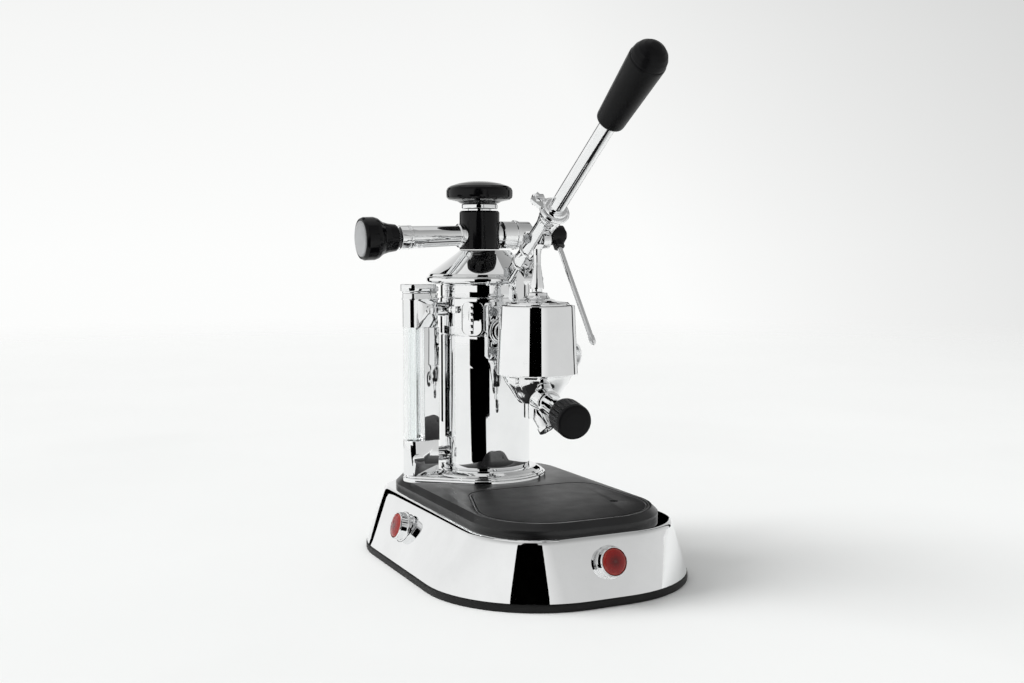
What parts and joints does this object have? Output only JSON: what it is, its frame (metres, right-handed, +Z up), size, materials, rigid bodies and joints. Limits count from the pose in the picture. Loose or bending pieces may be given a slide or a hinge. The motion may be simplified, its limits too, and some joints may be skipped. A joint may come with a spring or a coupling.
{
  "type": "lever espresso machine",
  "caption": "Manual lever espresso machine: chrome boiler with sight glass on a tapered chrome base, lever group with filter holder, steam arm and swivelling wand.",
  "frame": {"origin": "middle of the base's underside, on the surface it stands on", "axes": "+Z up, -Y towards the front with the lever and tray, +X to the right as seen from the front"},
  "size_m": [0.214, 0.3568, 0.3826],
  "materials": {
    "chrome": "mirror polished chrome plate",
    "zinc_steel": "plain steel",
    "brass": "turned brass",
    "element_sheath": "dull heater sheath",
    "black_satin": "satin moulded plastic",
    "black_grained": "fine grained moulded plastic",
    "black_gloss": "glossy black phenolic",
    "black_grip": "semi-gloss black phenolic",
    "black_rubber": "black rubber",
    "red_lens": "translucent red lens",
    "grey_disc": "satin grey",
    "glass": "clear glass",
    "clear_cover": "clear ribbed cover"
  },
  "bodies": {
    "machine": {"base_rim": "black_rubber", "bottom_plate": "zinc_steel", "base_housing": "chrome", "top_plate": "black_satin", "button_bezels": "chrome", "switch_bodies": "black_satin", "cord_gland": "black_rubber", "pressure_switch": "brass", "boiler_foot": "chrome", "boiler_vessel": "brass", "boiler_jacket": "chrome", "boiler_brim": "chrome", "boiler_dome": "chrome", "element_plate": "zinc_steel", "heating_element": "element_sheath", "element_gasket": "black_rubber", "manifold": "black_gloss", "steam_arm": "chrome", "outlet_valve": "chrome", "gauge_upper_block": "chrome", "gauge_lower_block": "chrome", "gauge_cap": "chrome", "gauge_glass": "glass", "gauge_shield": "clear_cover", "gauge_guard": "chrome", "gauge_seals": "black_rubber", "gauge_strap": "chrome", "badge": "chrome", "group_saddle": "chrome", "saddle_bolts": "zinc_steel", "group_head": "chrome", "group_cap": "chrome", "group_bell": "chrome", "group_gasket": "black_rubber", "shower_screen": "zinc_steel"},
    "tray": {"drip_tray": "black_satin", "drip_cover": "black_grained"},
    "front_button": {"front_button": "red_lens"},
    "side_button": {"side_button": "red_lens"},
    "filler_seal": {"filler_seal": "black_rubber"},
    "filler_cap": {"filler_plug": "chrome", "filler_cap": "black_gloss"},
    "steam_knob": {"steam_spindle": "zinc_steel", "steam_knob": "black_gloss", "steam_knob_disc": "grey_disc"},
    "steam_wand": {"wand_nut": "black_gloss", "steam_wand": "chrome", "wand_tip": "chrome"},
    "lever": {"lever_fork": "chrome", "lever_pins": "zinc_steel", "lever_rod": "chrome", "lever_grip": "black_grip"},
    "piston": {"piston": "brass", "piston_seals": "black_rubber", "piston_rod": "chrome"},
    "basket": {"filter_basket": "zinc_steel"},
    "filter_holder": {"filter_holder": "chrome", "spout": "chrome", "handle_tube": "chrome", "handle_grip": "black_grip"}
  },
  "joints": [
    {"name": "lever_hinge", "type": "hinge", "parent": "machine", "child": "lever", "pos_m": [0, 0.005, 0.23], "axis": [-1, 0, 0], "range_deg": [-44, 10]},
    {"name": "piston_slide", "type": "slide", "parent": "machine", "child": "piston", "axis": [0, 0, 1], "range_m": [-0.0316, 0.0073]},
    {"name": "steam_knob_turn", "type": "hinge", "parent": "machine", "child": "steam_knob", "pos_m": [0, 0.067, 0.2605], "axis": [-0.9994, 0, -0.0349], "range_deg": [0, 540]},
    {"name": "steam_wand_swing", "type": "hinge", "parent": "machine", "child": "steam_wand", "pos_m": [0.067, 0.067, 0.2605], "axis": [1, 0, 0], "range_deg": [-40, 75]},
    {"name": "filler_cap_rise", "type": "slide", "parent": "machine", "child": "filler_seal", "axis": [0, 0, 1], "range_m": [0, 0.008]},
    {"name": "filler_cap_turn", "type": "hinge", "parent": "filler_seal", "child": "filler_cap", "pos_m": [-0.0046, 0.067, 0.29], "axis": [0, 0, 1], "range_deg": [0, 1440.5]},
    {"name": "basket_drop", "type": "slide", "parent": "machine", "child": "basket", "axis": [0, 0, -1], "range_m": [0, 0.018]},
    {"name": "filter_holder_turn", "type": "hinge", "parent": "basket", "child": "filter_holder", "pos_m": [0, -0.032, 0.15], "axis": [0, 0, -1], "range_deg": [0, 45]},
    {"name": "tray_lift", "type": "slide", "parent": "machine", "child": "tray", "axis": [0, 0, 1], "range_m": [0, 0.025]},
    {"name": "front_button_push", "type": "slide", "parent": "machine", "child": "front_button", "axis": [0, 0.959, -0.2834], "range_m": [0, 0.0025], "stiffness_N_per_m": 600},
    {"name": "side_button_push", "type": "slide", "parent": "machine", "child": "side_button", "axis": [0.9613, 0, -0.2756], "range_m": [0, 0.0025], "stiffness_N_per_m": 600}
  ],
  "couplings": [
    {"joint": "piston_slide", "follows": "lever_hinge", "m_per_rad": 0.041},
    {"joint": "filler_cap_turn", "follows": "filler_cap_rise", "rad_per_m": 3141.6}
  ]
}
